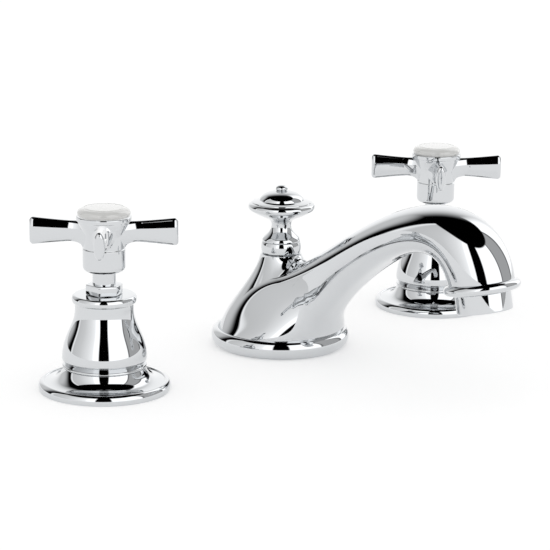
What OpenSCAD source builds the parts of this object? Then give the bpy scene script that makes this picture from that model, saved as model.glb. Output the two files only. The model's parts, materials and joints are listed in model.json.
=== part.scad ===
// Three-hole basin mixer set: two cross-head valves and a swan-neck spout with
// a pop-up waste knob, drawn with the parts that clamp it under the deck.
// Millimetres. X runs to the user's right, Y towards the wall and Z up. The
// origin is on the deck, at the centre of the spout's foot.

/* [Set] */
// Distance between the two valve centres
pitch = 200; // [150:5:300]
// Thickness of the deck that the set is clamped to
deck_t = 20; // [5:1:30]
// Clearance between pieces that are screwed or slipped together
fit_gap = 0.1; // [0.05:0.05:0.2]
// Radial clearance of a turning or sliding shaft
run_gap = 0.05; // [0.02:0.01:0.1]

/* [Spout] */
// Distance from the foot's axis to the outlet collar
spout_reach = 110.5; // [95:0.5:140]
// Height of the outlet collar above the deck
spout_rise = 46; // [42:0.5:60]
// Height that the crown of the spout is drawn towards
crown_z = 78; // [70:0.5:95]
// Height of the saddle between the column and the spout
saddle_z = 36.5; // [33:0.5:38]
// Forward lean of the outlet, in degrees
spout_tilt = 11.5; // [0:0.5:20]
// Radius of the spout's end, just above its collar
spout_end_r = 13.25; // [12.5:0.25:15]
// Half width of the spout at the middle of its arch
spout_half_w = 13; // [11:0.5:16]
// How flat the spout's sides are: 2 is an ellipse
side_flat = 2.2; // [2:0.1:3]
// Wall of the hollow spout casting
spout_wall = 4; // [3:0.25:5]

/* [Spout foot and column] */
// Radius of the foot moulding
foot_r = 29.5; // [28.5:0.5:34]
// Height of the foot moulding
foot_h = 8; // [6:0.5:10]
// Radius of the spout body where it leaves the foot
body_r = 26.5; // [25:0.5:28]
// Radius of the column that guides the lift rod
column_r = 8.7; // [8.5:0.1:10]
// Height of the column
column_z = 40; // [39:0.5:46]
// Radius at which the column's flare meets the body
flare_r = 13; // [12:0.2:14]
// Height at which the column's flare meets the body
flare_z = 28.8; // [28:0.2:30]

/* [Outlet] */
// Radius of the collar bead
collar_r = 15.5; // [15:0.25:18]
// Height of the collar bead
collar_h = 4.4; // [3:0.2:6]
// Radius of the aerator shell
aerator_r = 11.25; // [10.75:0.25:12]
// Length of the aerator shell below the collar
aerator_h = 7.6; // [6:0.2:12]
// Radius of the thread that holds the aerator
aerator_thread_r = 9.7; // [9.4:0.1:10]

/* [Pop-up knob] */
// Radius of the lift rod
rod_r = 2.4; // [2:0.1:2.6]
// Depth of the rod's lower end below the deck
rod_drop = 140; // [125:5:220]
// Radius of the guide collar on top of the column
guide_r = 8.5; // [8.4:0.1:9.5]
// Height of the guide collar
guide_h = 5.4; // [4:0.2:8]
// Radius of the knob's disc
knob_r = 14.3; // [12:0.1:18]
// Radius of the knob's waist
knob_waist_r = 4.7; // [4:0.1:6]
// Height of the knob above its guide collar
knob_h = 23.3; // [20:0.1:30]

/* [Threads and pipes] */
// Outside radius of the shanks, a 3/4 inch pipe thread
shank_r = 13.2; // [13.2:0.1:14.5]
// Bore radius of the spout's shank
shank_bore_r = 9.5; // [8.5:0.25:10]
// Outside radius of the pipe ends, a 1/2 inch pipe thread
tail_r = 10.4; // [10:0.1:10.6]
// Bore radius of the pipe ends
tail_bore_r = 7; // [5.5:0.25:8]
// Threaded length of a pipe end
tail_h = 14; // [10:1:20]

/* [Clamping under the deck] */
// Radius of the washers under the deck
washer_r = 22; // [20:0.5:25]
// Thickness of the rubber washers
rubber_t = 3; // [2:0.5:4]
// Thickness of the metal washers
metal_t = 1.5; // [1:0.25:3]
// Width across the flats of the backnuts
backnut_af = 36; // [34:1:40]
// Height of the backnuts
backnut_h = 9; // [7:0.5:12]
// Outside radius of the rubber ring under each flange
seal_r = 23; // [20:0.5:24]
// Depth of the groove that holds that ring
seal_t = 1.5; // [1:0.25:2]

/* [Valve body] */
// Height of the valve body above the deck
valve_z = 20; // [18:0.5:22]
// Height of the water seat above the deck
seat_z = 4; // [2:0.5:5]
// Radius of the riser that feeds the cartridge
riser_r = 7.6; // [7.2:0.1:8]
// Bore radius of the riser
riser_bore_r = 5.2; // [4:0.2:5.6]
// Radius of the casting below the deck
casting_r = 15; // [14.5:0.5:18]
// Height of the casting below the deck
casting_h = 32; // [28:1:40]
// Depth of the casting's lower end below the deck
casting_drop = 76; // [75:1:90]
// Distance from the valve's axis to the end of its side outlet
outlet_reach = 34; // [32:1:45]

/* [Bell and escutcheon] */
// Radius of the escutcheon
escutcheon_r = 26.6; // [26:0.2:30]
// Height of the escutcheon's collar, where the bell stands
escutcheon_z = 9.2; // [8.6:0.2:11]
// Radius of the fine line around the escutcheon's dish
dish_r = 24; // [23.4:0.2:25]
// Largest radius of the bell
bell_r = 16.9; // [16.5:0.1:19]
// Radius of the bell's neck
bell_neck_r = 11.8; // [11.6:0.1:13]
// Radius of the bead around the bell's top
bell_bead_r = 12.95; // [12.8:0.05:14]
// Height of the bell's top above the deck
bell_z = 38.9; // [38:0.1:42]
// Wall of the bell
bell_wall = 1.4; // [1:0.1:1.6]
// Thickness of the bell's top plate
bell_top_t = 2; // [1.5:0.1:2.5]

/* [Cartridge] */
// Radius of the spindle where it shows
spindle_r = 4.65; // [4.5:0.05:5]
// Radius of the splined end that carries the handle
spline_r = 4; // [3.5:0.1:4.2]
// Radius of the cartridge's lower cage and upper barrel
barrel_r = 8.9; // [8.7:0.1:9.2]
// Radius of the ceramic discs
disc_r = 7.4; // [7:0.1:7.4]
// Thickness of each ceramic disc
disc_t = 3; // [2.5:0.1:3.2]
// Height of the lip seal under the discs
lip_t = 2; // [1.5:0.1:2.2]
// Width across the flats of the gland nut
gland_af = 13; // [13:0.5:14]
// Height of the gland nut's hexagon
gland_h = 4.2; // [3:0.2:4.6]

/* [Handle] */
// Radius of the handle's hub
hub_r = 8.5; // [8.4:0.05:9.5]
// Height of the hub's lower end above the deck
hub_z = 48.2; // [46.5:0.1:50]
// Height of the arms' centre line above the deck
arm_z = 64.4; // [64:0.2:66]
// Length of an arm from the spindle's axis
arm_len = 29.3; // [26:0.1:36]
// Height of an arm at its tip
arm_tip_h = 11; // [8:0.2:12]
// Height of an arm at its neck
arm_neck_h = 8.4; // [6:0.2:8.4]
// Thickness of an arm
arm_t = 4.3; // [4:0.1:6]
// Distance from the axis to an arm's neck
arm_neck = 15; // [14:0.5:17]
// Angle between the arms and the set's own directions
arm_angle = 45; // [0:5:90]

/* [Index button] */
// Radius of the ceramic button
button_r = 10.8; // [10:0.1:11]
// Height of the ceramic button above its cup
button_h = 3.2; // [2.5:0.1:5]
// Radius of the metal cup that holds it
cup_r = 11; // [10.6:0.1:12]
// Height of the cup's rim
cup_h = 2; // [1:0.1:2.5]

/* [Hidden] */
$fn = 64;
// A cut runs this far past the face that it opens
eps = 1;
CHROME = [0.80, 0.82, 0.85];
BRASS = [0.78, 0.62, 0.33];
STEEL = [0.66, 0.68, 0.70];
RUBBER = [0.15, 0.15, 0.16];
PORCELAIN = [0.96, 0.96, 0.94];

// Heights that follow from the stack on the deck
gland_z = bell_z + gland_h;
barrel_top = bell_z - bell_top_t;
under_deck = -deck_t;
metal_z = under_deck - rubber_t;
backnut_z = metal_z - metal_t;
guide_z = column_z + guide_h;
outlet_z = -(casting_drop - casting_h / 2);

// Heights inside the cartridge, from the seat up
disc_z = seat_z + lip_t;
mover_z = disc_z + disc_t;
flange_z = mover_z + disc_t;
flange_t = 2;
thrust_t = 0.8;
thrust_z = flange_z + flange_t;
chamber_top = thrust_z + thrust_t + fit_gap;
clip_z = bell_z - 10;
clip_t = 0.8;
gland_foot = clip_z + clip_t + 2 * fit_gap;
gland_thread_r = 6.4;

// Heights inside the handle, from its floor up
floor_z = arm_z - 4.2;
floor_t = 1.8;
recess_z = floor_z + floor_t;
recess_r = 7;
handle_top = arm_z + 4.3;
cup_top = handle_top + cup_h;
screw_r = 2.5;

// Spout fittings
socket_z = 14;
tube_r = 3.6;
tube_bore_r = 2.9;
tube_top = column_z - 6.8;
guide_thread_r = 5.6;
shank_below = 40;
shank_drop = deck_t + shank_below;
tee_below = 22;
tee_z = -(shank_drop + tee_below);
tee_h = 33;
tee_foot = tee_z - tee_h / 2;
tee_r = 11;
tee_floor_t = 4;
tee_flange_h = 3;
tee_reach = 36;
arm_root_r = tail_r + 1.6;
tube_tail = 12;
union_h = 20;
union_lip = 3;
gland_spigot_t = 2;
chamber_h = 8;
seal_bore_r = 18;

// ---------------------------------------------------------------- curves

// Point at t on the Bezier curve with the control points p
function bezier(p, t) = len(p) == 1
    ? p[0]
    : bezier([for (i = [0:len(p) - 2]) p[i] * (1 - t) + p[i + 1] * t], t);

// The curve as a list of n + 1 points
function curve(p, n) = [for (i = [0:n]) bezier(p, i / n)];

// The list in the opposite order
function reversed(p) = [for (i = [len(p) - 1:-1:0]) p[i]];

// Points of a half-round bead with its centre at [r, z], from top to bottom
function bead(r, z, out, half_h, n) =
    [for (i = [0:n]) [r + out * sin(180 * i / n), z + half_h * cos(180 * i / n)]];

// One coordinate of a rounded section: n = 2 gives an ellipse
function rounded(c, n) = sign(c) * pow(abs(c), 2 / n);

// ---------------------------------------------------------------- plain solids

// Ring between the radii r_out and r_in, from z0 up to z1
module ring(r_out, r_in, z0, z1) {
    translate([0, 0, z0])
        difference() {
            cylinder(h = z1 - z0, r = r_out);
            translate([0, 0, -eps]) cylinder(h = z1 - z0 + 2 * eps, r = r_in);
        }
}

// Solid of revolution under a profile of [radius, height] points
module turned(profile) {
    rotate_extrude() polygon(profile);
}

// Hexagonal nut with both ends chamfered
module hex_nut(af, bore_r, z0, h) {
    corner = af / 2 / cos(30);
    ch = corner - af / 2;
    difference() {
        intersection() {
            translate([0, 0, z0]) cylinder(h = h, r = corner, $fn = 6);
            turned([[0, z0], [af / 2, z0], [corner, z0 + ch * 0.6],
                [corner, z0 + h - ch * 0.6], [af / 2, z0 + h], [0, z0 + h]]);
        }
        translate([0, 0, z0 - eps]) cylinder(h = h + 2 * eps, r = bore_r);
    }
}

// Closed skin through rings of points that all have the same count. Each ring
// runs clockwise when it is seen from the last one
module skin(rings) {
    n = len(rings[0]);
    last = len(rings) - 1;
    points = [for (ring_points = rings) each ring_points];
    sides = [for (i = [0:last - 1], j = [0:n - 1])
        let (a = i * n + j, b = i * n + (j + 1) % n)
        each [[a, b, b + n], [a, b + n, a + n]]];
    ends = [[for (j = [n - 1:-1:0]) j], [for (j = [0:n - 1]) last * n + j]];
    polyhedron(points = points, faces = concat(sides, ends), convexity = 6);
}

// ---------------------------------------------------------------- spout

// The spout is lofted between two curves in the plane x = 0. The back curve
// climbs the rear of the body to the saddle and runs over the crown. The belly
// curve climbs the front of the body and runs under the arch.
outlet_at = [-spout_reach, spout_rise];
outlet_dir = [-sin(spout_tilt), -cos(spout_tilt)];
outlet_out = [-cos(spout_tilt), sin(spout_tilt)];
loft_z = foot_h - 1.5;
saddle = [-6.5, saddle_z];
rear_pull = [20.5, saddle_z - 9];
// How far the saddle's tangent is carried into the crown
saddle_pull = 1.3;
rear_curve = [[body_r, loft_z], [body_r + 1.5, foot_h - 1], rear_pull, saddle];
crown_end = outlet_at + outlet_out * spout_end_r;
crown_curve = [
    saddle, saddle + (saddle - rear_pull) * saddle_pull,
    [-0.54 * spout_reach, crown_z - 4], [-0.69 * spout_reach, crown_z],
    crown_end - outlet_dir * 37, crown_end
];
belly_end = outlet_at - outlet_out * spout_end_r;
belly_curve = [
    [-body_r, loft_z], [-body_r - 1.5, foot_h + 12],
    [-0.36 * spout_reach, saddle_z + 2], [-0.79 * spout_reach, crown_z - 9.5],
    [-0.9 * spout_reach, crown_z - 19], belly_end - outlet_dir * 4.5, belly_end
];
width_curve = [
    [body_r], [body_r - 6], [spout_half_w + 0.5], [spout_half_w],
    [spout_half_w - 1], [spout_end_r + 2.75], [spout_end_r]
];
saddle_t = 0.3;

function back_at(t) = t < saddle_t
    ? bezier(rear_curve, t / saddle_t)
    : bezier(crown_curve, (t - saddle_t) / (1 - saddle_t));

// Ring of n points around the spout at t, set in from its surface by inset
function spout_ring(t, inset, n) =
    let (
        back = back_at(t),
        belly = bezier(belly_curve, t),
        middle = (back + belly) / 2,
        half_d = norm(back - belly) / 2 - inset,
        up = (back - belly) / norm(back - belly),
        half_w = bezier(width_curve, t)[0] - inset,
        flat = 2 + (side_flat - 2) * 4 * t * (1 - t)
    )
    [for (j = [0:n - 1])
        let (a = -360 * j / n, d = half_d * rounded(sin(a), flat))
        [half_w * rounded(cos(a), flat), middle[0] + d * up[0], middle[1] + d * up[1]]];

// Hollow loft: out along the outside to the outlet, and back along the waterway
module spout_loft(steps, n) {
    waterway_t = 0.13;
    skin(concat(
        [for (i = [0:steps]) spout_ring(i / steps, 0, n)],
        [for (i = [0:steps]) spout_ring(1 + (waterway_t - 1) * i / steps, spout_wall, n)]));
}

// Puts its children in the outlet's frame, where water leaves along -Z
module at_outlet() {
    translate([0, -spout_reach, spout_rise]) rotate([-spout_tilt, 0, 0]) children();
}

// Foot moulding, with the body rising out of its top
module foot_moulding() {
    turned(concat([[0, 0]], [[foot_r - 2, 0]],
        reversed(bead(foot_r - 2.6, foot_h * 0.53, 2.6, foot_h * 0.46, 10)),
        [[foot_r - 2.6, foot_h], [0, foot_h]]));
}

// Column around the lift rod, flared where it grows out of the body
module column() {
    turned(concat(
        [[0, flare_z - 5], [flare_r, flare_z - 5]],
        curve([[flare_r, flare_z], [flare_r - 2.6, flare_z + 3.6],
            [column_r + 0.1, column_z - 6], [column_r, column_z]], 8),
        [[0, column_z]]));
}

module spout_casting() {
    spout_loft(24, 28);
    column();
    foot_moulding();
    at_outlet()
        turned(concat([[0, collar_h / 2 - 1]],
            bead(spout_end_r - 0.6, -1, collar_r - spout_end_r + 0.6, collar_h / 2, 10),
            [[0, -collar_h / 2 - 1]]));
}

module spout_body() {
    color(CHROME)
        difference() {
            spout_casting();
            // socket for the shank, and the water chamber above it
            translate([0, 0, -eps]) cylinder(h = socket_z + eps, r = shank_r + fit_gap);
            translate([0, 0, socket_z - eps]) cylinder(h = chamber_h, r = shank_bore_r);
            // seat of the rod tube, and the thread for the rod guide
            cylinder(h = tube_top, r = tube_r + fit_gap);
            translate([0, 0, tube_top - 0.2])
                cylinder(h = column_z, r = guide_thread_r + fit_gap);
            // groove for the foot seal
            ring(seal_r + fit_gap, seal_bore_r - fit_gap, -eps, seal_t);
            // thread for the aerator
            at_outlet()
                translate([0, 0, -collar_h]) cylinder(h = collar_h + 7, r = aerator_thread_r + fit_gap);
        }
}

module spout_foot_seal() { color(RUBBER) ring(seal_r, seal_bore_r, 0, seal_t); }

module spout_shank() { color(BRASS) ring(shank_r, shank_bore_r, -shank_drop, socket_z); }

// Brass tube that carries the rod through the water
module rod_tube() {
    color(BRASS) ring(tube_r, tube_bore_r, tee_foot - tube_tail, tube_top - fit_gap);
}

// Guide collar screwed into the column
module rod_guide() {
    color(CHROME)
        difference() {
            turned(concat(
                [[0, tube_top], [guide_thread_r, tube_top], [guide_thread_r, column_z]],
                reversed(bead(guide_r - 0.9, column_z + guide_h / 2, 0.9, guide_h / 2, 10)),
                [[0, guide_z]]));
            translate([0, 0, tube_top - eps]) cylinder(h = column_z, r = rod_r + run_gap);
        }
}

module lift_rod() {
    color(CHROME)
        translate([0, 0, -rod_drop]) cylinder(h = rod_drop + guide_z + 10, r = rod_r);
}

module lift_knob() {
    rim_z = guide_z + 14.6;
    dome_z = guide_z + knob_h - 3.5;
    ball_h = 1.6;
    waist_z = guide_z + 6;
    color(CHROME)
        difference() {
            union() {
                turned(concat(
                    [[0, guide_z], [guide_r - 0.4, guide_z]],
                    curve([[guide_r - 0.4, guide_z], [guide_r - 1.2, guide_z + 2.8],
                        [knob_waist_r + 0.3, guide_z + 3.6], [knob_waist_r, waist_z]], 8),
                    curve([[knob_waist_r, waist_z + 1.4], [knob_waist_r + 0.1, rim_z - 3.6],
                        [knob_r - 4.8, rim_z - 4.8], [knob_r - 0.6, rim_z - 1]], 10),
                    [[knob_r, rim_z], [knob_r, rim_z + 1], [knob_r - 0.5, rim_z + 1.7],
                        [knob_r - 1.5, rim_z + 2.4]],
                    curve([[knob_r - 1.5, rim_z + 2.6], [knob_r - 3.3, rim_z + 4.4],
                        [8.6, dome_z - 0.3], [7.4, dome_z - 0.1]], 6),
                    curve([[7.1, dome_z + 0.1], [6.4, dome_z + 1.1], [4.4, dome_z + 1.9],
                        [0, dome_z + 2.2]], 8)));
                turned(bead(0, dome_z + 3.5 - ball_h / 2, 2.5, ball_h / 2, 10));
            }
            translate([0, 0, guide_z - eps]) cylinder(h = 10 + 2 * eps, r = rod_r + fit_gap / 2);
        }
}

module spout_deck_washer() {
    color(RUBBER) ring(washer_r, shank_r + fit_gap, metal_z, under_deck);
}

module spout_clamp_washer() {
    color(STEEL) ring(washer_r, shank_r + fit_gap, backnut_z, metal_z);
}

module spout_backnut() {
    color(BRASS) hex_nut(backnut_af, shank_r + fit_gap, backnut_z - backnut_h, backnut_h);
}

// Tee under the spout, where the hoses from the two valves meet
module inlet_tee() {
    tee_top = -shank_drop - rubber_t / 2;
    color(BRASS)
        difference() {
            union() {
                translate([0, 0, tee_top - tee_flange_h]) cylinder(h = tee_flange_h, r = shank_r - 0.2);
                translate([0, 0, tee_foot]) cylinder(h = tee_top - tee_foot, r = tee_r);
                for (side = [-90, 90])
                    translate([0, 0, tee_z]) rotate([0, side, 0]) {
                        cylinder(h = tee_reach, r = tail_r);
                        cylinder(h = tee_reach - tail_h, r = arm_root_r);
                    }
            }
            translate([0, 0, tee_foot + tee_floor_t]) cylinder(h = shank_drop, r = tail_bore_r + 1);
            translate([0, 0, tee_foot - eps]) cylinder(h = tee_h, r = tube_r + gland_spigot_t);
            for (side = [-1, 1])
                translate([side * (tube_r + 1), 0, tee_z])
                    rotate([0, side * 90, 0]) cylinder(h = tee_reach, r = tail_bore_r);
        }
}

module tee_union_nut() {
    lip_z = -shank_drop - rubber_t / 2 - tee_flange_h;
    color(BRASS)
        difference() {
            hex_nut(backnut_af - 4, tee_r + fit_gap, lip_z - union_lip, union_h);
            translate([0, 0, lip_z]) cylinder(h = union_h, r = shank_r + fit_gap);
        }
}

module tee_washer() {
    color(RUBBER) ring(shank_r - 0.2, shank_bore_r, -shank_drop - rubber_t / 2, -shank_drop);
}

// Gland that seals the rod tube where it leaves the tee
module tee_gland() {
    af = 17;
    h = 6;
    color(BRASS) {
        hex_nut(af, tube_r + fit_gap, tee_foot - h, h);
        ring(tube_r + gland_spigot_t - fit_gap, tube_r + fit_gap, tee_foot - 0.5, tee_foot + tee_floor_t);
    }
}

// ---------------------------------------------------------------- aerator

module aerator_shell() {
    color(CHROME)
        at_outlet()
            difference() {
                union() {
                    turned([[0, -collar_h / 2 - 1], [aerator_r, -collar_h / 2 - 1],
                        [aerator_r, -collar_h / 2 - 1 - aerator_h + 0.6],
                        [aerator_r - 0.6, -collar_h / 2 - 1 - aerator_h],
                        [0, -collar_h / 2 - 1 - aerator_h]]);
                    translate([0, 0, -collar_h / 2 - 1]) cylinder(h = collar_h / 2 + 4, r = aerator_thread_r);
                }
                translate([0, 0, -collar_h - aerator_h - eps])
                    cylinder(h = 2 * collar_h + aerator_h + 6, r = aerator_thread_r - 1.4);
            }
}

// Flow straightener with a grille at its lower end
module aerator_insert() {
    r = aerator_thread_r - 1.5;
    foot = -collar_h / 2 - aerator_h;
    color("whitesmoke")
        at_outlet()
            difference() {
                translate([0, 0, foot]) cylinder(h = 2.6 - foot, r = r);
                translate([0, 0, foot + 2]) cylinder(h = 4 - foot, r = r - 1.2);
                for (ring_n = [[0, 1], [2.8, 6], [5.4, 12]], k = [0:ring_n[1] - 1])
                    rotate(360 * k / ring_n[1])
                        translate([ring_n[0], 0, foot - eps]) cylinder(h = 4, r = 1, $fn = 24);
            }
}

module aerator_washer() {
    color(RUBBER) at_outlet() ring(aerator_thread_r - 0.1, 6.4, 3, 4.6);
}

// ---------------------------------------------------------------- valves

// Places a valve: side -1 is hot and +1 is cold, which is its mirror image
module at_valve(side) {
    translate([side * pitch / 2, 0, 0])
        if (side < 0) children();
        else mirror([1, 0, 0]) children();
}

module escutcheon() {
    hole_r = shank_r + 0.3;
    color(CHROME)
        difference() {
            turned(concat(
                [[0, 0], [escutcheon_r - 0.4, 0]],
                curve([[escutcheon_r - 0.4, 0], [escutcheon_r + 0.3, 2.2],
                    [escutcheon_r - 0.6, 3.9], [dish_r + 0.5, 4]], 8),
                [[dish_r, 3.6]],
                curve([[dish_r, 3.6], [20, 3.9], [17.6, 5.4], [bell_r - 0.6, escutcheon_z]], 10),
                [[0, escutcheon_z]]));
            translate([0, 0, -eps]) cylinder(h = 20, r = hole_r);
            // room for the locknut that stands on the deck
            translate([0, 0, -eps]) cylinder(h = 6 + eps, r = 17);
            ring(seal_r + fit_gap, seal_bore_r - fit_gap, -eps, seal_t);
        }
}

module flange_seal() { color(RUBBER) ring(seal_r, seal_bore_r, 0, seal_t); }

module locknut() { color(BRASS) ring(16.6, shank_r + fit_gap, 0, 5); }

// Valve casting: water rises through the middle and comes back around it
module valve_body() {
    tail_z = -casting_drop - tail_h;
    floor_in = -casting_drop + 8;
    chamfer = 2;
    color(BRASS)
        difference() {
            union() {
                difference() {
                    union() {
                        translate([0, 0, -casting_drop + casting_h - eps])
                            cylinder(h = valve_z + casting_drop - casting_h + eps, r = shank_r);
                        turned([[0, -casting_drop], [casting_r - chamfer, -casting_drop],
                            [casting_r, -casting_drop + chamfer],
                            [casting_r, -casting_drop + casting_h - chamfer],
                            [casting_r - chamfer, -casting_drop + casting_h],
                            [0, -casting_drop + casting_h]]);
                        translate([0, 0, outlet_z])
                            rotate([0, 90, 0]) cylinder(h = outlet_reach - tail_h, r = tail_r + 1.6);
                        translate([0, 0, outlet_z]) rotate([0, 90, 0]) cylinder(h = outlet_reach, r = tail_r);
                    }
                    translate([0, 0, floor_in])
                        cylinder(h = valve_z - floor_in + eps, r = tail_r + fit_gap);
                    translate([0, 0, outlet_z])
                        rotate([0, 90, 0]) cylinder(h = outlet_reach + eps, r = tail_bore_r);
                }
                translate([0, 0, floor_in - eps]) cylinder(h = seat_z - floor_in + eps, r = riser_r);
                translate([0, 0, tail_z]) cylinder(h = tail_h + eps, r = tail_r);
            }
            translate([0, 0, floor_in - eps]) cylinder(h = seat_z - floor_in + 2 * eps, r = riser_bore_r);
            translate([0, 0, tail_z - eps]) cylinder(h = floor_in - tail_z - 2, r = tail_bore_r);
            translate([0, 0, floor_in - 5]) cylinder(h = 8, r = riser_bore_r);
        }
}

module deck_washer() { color(RUBBER) ring(washer_r, shank_r + fit_gap, metal_z, under_deck); }

module clamp_washer() { color(STEEL) ring(washer_r, shank_r + fit_gap, backnut_z, metal_z); }

module backnut() {
    color(BRASS) hex_nut(backnut_af, shank_r + fit_gap, backnut_z - backnut_h, backnut_h);
}

// Thin bell: a bead around its top, a waist, a full skirt and a fine foot bead
module bell() {
    foot_bead = 0.8;
    bead_z = bell_z - 1.8;
    skirt = curve([[bell_neck_r, bead_z - 2.6], [bell_neck_r - 0.5, bead_z - 8.5],
        [bell_neck_r + 1.6, bead_z - 11.5], [bell_r, bead_z - 16.5],
        [bell_r + 0.1, escutcheon_z + 3.8]], 16);
    tuck = [[bell_r - 0.3, escutcheon_z + 2.6], [bell_r - 1, escutcheon_z + 2 * foot_bead]];
    outside = concat(
        [[0, bell_z]], bead(bell_neck_r - 0.1, bead_z, bell_bead_r - bell_neck_r + 0.1, 1.8, 10),
        skirt, tuck, bead(bell_r - 1, escutcheon_z + foot_bead, 1, foot_bead, 6));
    color(CHROME)
        difference() {
            turned(concat(outside, [[0, escutcheon_z]]));
            turned(concat(
                [[0, barrel_top], [bell_neck_r - bell_wall, barrel_top]],
                [for (p = skirt) [p[0] - bell_wall, p[1]]],
                [[bell_r - bell_wall - 1, escutcheon_z - eps], [0, escutcheon_z - eps]]));
            translate([0, 0, barrel_top - eps])
                cylinder(h = 3 * bell_top_t, r = gland_thread_r + fit_gap);
        }
}

// Cartridge housing: cage and windows below, thread and hexagon, barrel above
module cartridge() {
    cage_z = seat_z + 0.3;
    thread_z = valve_z - 5.6;
    window = 8;
    color(BRASS)
        difference() {
            union() {
                translate([0, 0, cage_z]) cylinder(h = barrel_top - cage_z, r = barrel_r);
                translate([0, 0, thread_z]) cylinder(h = valve_z - thread_z, r = tail_r);
                translate([0, 0, valve_z]) cylinder(h = 4, r = 12, $fn = 6);
            }
            translate([0, 0, cage_z - eps])
                cylinder(h = chamber_top - cage_z + eps, r = disc_r + 2 * fit_gap);
            translate([0, 0, chamber_top - eps]) cylinder(h = 30, r = spindle_r + run_gap);
            translate([0, 0, clip_z - fit_gap]) cylinder(h = 30, r = gland_thread_r + fit_gap);
            translate([-barrel_r - eps, -window / 2, mover_z + 0.2])
                cube([2 * barrel_r + 2 * eps, window, disc_t - 0.4]);
        }
}

module lip_seal() { color(RUBBER) ring(disc_r, riser_bore_r, seat_z, disc_z); }

// Wedge that opens a quarter of a disc to each side
module butterfly(h, r_in, r_out) {
    for (side = [0, 180])
        rotate(side)
            rotate([0, 0, -35])
                rotate_extrude(angle = 70) translate([r_in, 0]) square([r_out - r_in, h]);
}

module fixed_disc() {
    color(PORCELAIN)
        translate([0, 0, disc_z])
            difference() {
                cylinder(h = disc_t, r = disc_r);
                translate([0, 0, -eps]) butterfly(disc_t + 2 * eps, 1.6, disc_r - 2.2);
            }
}

// The moving disc is shut at rest: its notches lie across the fixed disc's
module moving_disc() {
    color(PORCELAIN)
        translate([0, 0, mover_z])
            difference() {
                cylinder(h = disc_t, r = disc_r);
                rotate(90) translate([0, 0, -eps]) butterfly(disc_t + 2 * eps, 2.6, disc_r + eps);
                translate([-4.5, -1.1, disc_t - 1.4]) cube([9, 2.2, 3]);
            }
}

module thrust_washer() {
    color("whitesmoke") ring(disc_r - 0.2, spindle_r + fit_gap, thrust_z, thrust_z + thrust_t);
}

module spindle() {
    groove_t = 1.2;
    color(BRASS)
        difference() {
            union() {
                translate([-4.4, -1, flange_z - 1.3]) cube([8.8, 2, 2]);
                translate([0, 0, flange_z]) cylinder(h = flange_t, r = disc_r - 0.2);
                translate([0, 0, flange_z]) cylinder(h = hub_z - flange_z, r = spindle_r);
                translate([0, 0, flange_z]) cylinder(h = floor_z - fit_gap - flange_z, r = spline_r);
            }
            for (z = [chamber_top + 3, chamber_top + 7])
                ring(spindle_r + eps, spindle_r - 1, z, z + groove_t);
            ring(spindle_r + eps, spindle_r - 0.9, clip_z - fit_gap, clip_z + clip_t + fit_gap);
            translate([0, 0, hub_z + 1]) cylinder(h = floor_z, r = screw_r + fit_gap / 2);
        }
}

// Two seals in the spindle's grooves
module spindle_orings() {
    groove_t = 1.2;
    color(RUBBER)
        for (z = [chamber_top + 3, chamber_top + 7])
            translate([0, 0, z + groove_t / 2])
                rotate_extrude() translate([spindle_r - 0.5, 0]) circle(r = 0.48, $fn = 24);
}

// Open ring that keeps the spindle from dropping out of the barrel
module spindle_clip() {
    color(STEEL)
        difference() {
            ring(gland_thread_r - 0.5, spindle_r - 0.85, clip_z, clip_z + clip_t);
            translate([0, -spindle_r + 1, clip_z - eps]) cube([10, 2 * spindle_r - 2, clip_t + 2 * eps]);
        }
}

module gland_nut() {
    color(CHROME)
        difference() {
            union() {
                hex_nut(gland_af, spindle_r + run_gap, bell_z, gland_h);
                translate([0, 0, gland_foot]) cylinder(h = bell_z - gland_foot, r = gland_thread_r);
            }
            translate([0, 0, gland_foot - eps]) cylinder(h = 40, r = spindle_r + run_gap);
        }
}

// ---------------------------------------------------------------- handle

// Ring of points around an arm: an upright oval at the distance s
function arm_ring(s, half_h, half_t, n) =
    [for (j = [0:n - 1])
        let (a = -360 * j / n)
        [s, half_t * rounded(cos(a), 2.3), arm_z + half_h * rounded(sin(a), 2.3)]];

// One arm, growing from neck to tip, with its end rounded over
module arm() {
    start = 9;
    nose = 1.3;
    grow = 7;
    n = 20;
    body_end = arm_len - nose;
    shaft = [for (i = [0:grow])
        let (s = start + (body_end - start) * i / grow,
            f = max(0, (s - arm_neck + 2) / (body_end - arm_neck + 2)))
        arm_ring(s, (arm_neck_h + (arm_tip_h - arm_neck_h) * pow(f, 1.2)) / 2,
            arm_t / 2 * (0.88 + 0.12 * f), n)];
    tip = [for (a = [30, 60, 90])
        arm_ring(body_end + nose * sin(a), arm_tip_h / 2 - nose * (1 - cos(a)),
            arm_t / 2 - nose * (1 - cos(a)), n)];
    skin(concat(shaft, tip));
}

// Webs that fill the corners between the arms, hollowed to a curve below
module webs() {
    top = arm_z + arm_neck_h / 2;
    fillet_r = arm_neck - arm_t * 0.44;
    under = arm_z - arm_neck_h / 2;
    shoulder_z = under - 2.6;
    intersection() {
        translate([0, 0, hub_z])
            linear_extrude(height = top - hub_z)
                difference() {
                    square(2 * arm_neck, center = true);
                    for (x = [-1, 1], y = [-1, 1])
                        translate([x * arm_neck, y * arm_neck]) circle(r = fillet_r);
                }
        turned(concat(
            [[0, shoulder_z - 0.5], [hub_r - 0.2, shoulder_z - 0.5]],
            curve([[hub_r, shoulder_z], [hub_r + 0.3, under - 1.3],
                [hub_r + 2.2, under - 0.3], [arm_neck, under]], 8),
            [[arm_neck + 7, under], [arm_neck + 7, top], [0, top]]));
    }
}

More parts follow.
